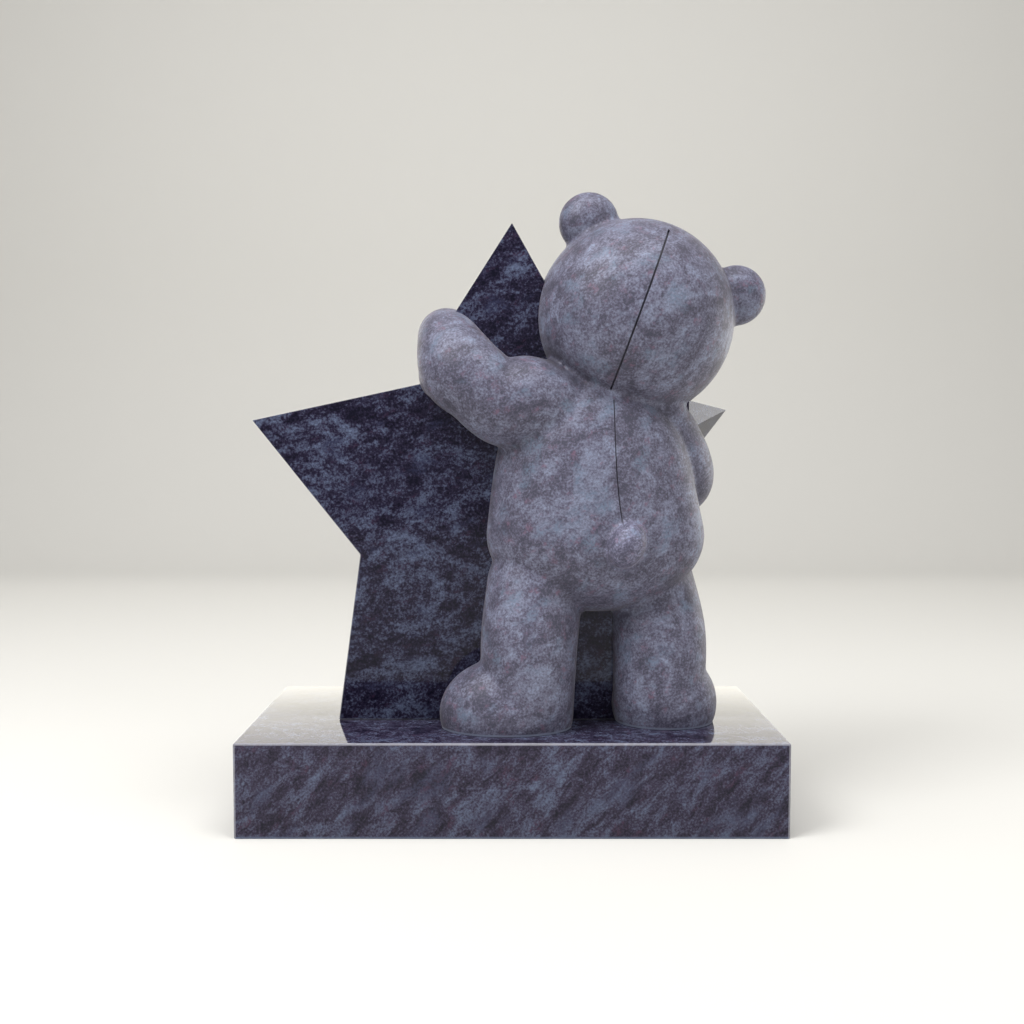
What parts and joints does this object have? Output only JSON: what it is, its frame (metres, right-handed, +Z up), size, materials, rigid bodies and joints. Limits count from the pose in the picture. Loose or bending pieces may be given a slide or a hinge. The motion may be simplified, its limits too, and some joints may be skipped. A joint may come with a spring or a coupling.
{
  "type": "teddy bear headstone",
  "caption": "Granite memorial: a teddy bear hugging a thick five-pointed star, both carved from one block, on a polished rectangular base.",
  "frame": {"origin": "middle of the base's underside, on the surface the headstone stands on", "axes": "+Z up; +X along the base's width; the star's broad faces look along -Y and +Y, the bear stands at the -Y face and looks over the star towards +Y"},
  "size_m": [0.61, 0.305, 0.7265],
  "materials": {
    "polished_granite": "polished dark blue-violet granite with paler blue-grey flecks",
    "carved_granite": "the same granite, honed matt on the bear and polished on the star"
  },
  "bodies": {
    "root": {"base": "polished_granite", "star_and_bear": "carved_granite"}
  },
  "joints": []
}
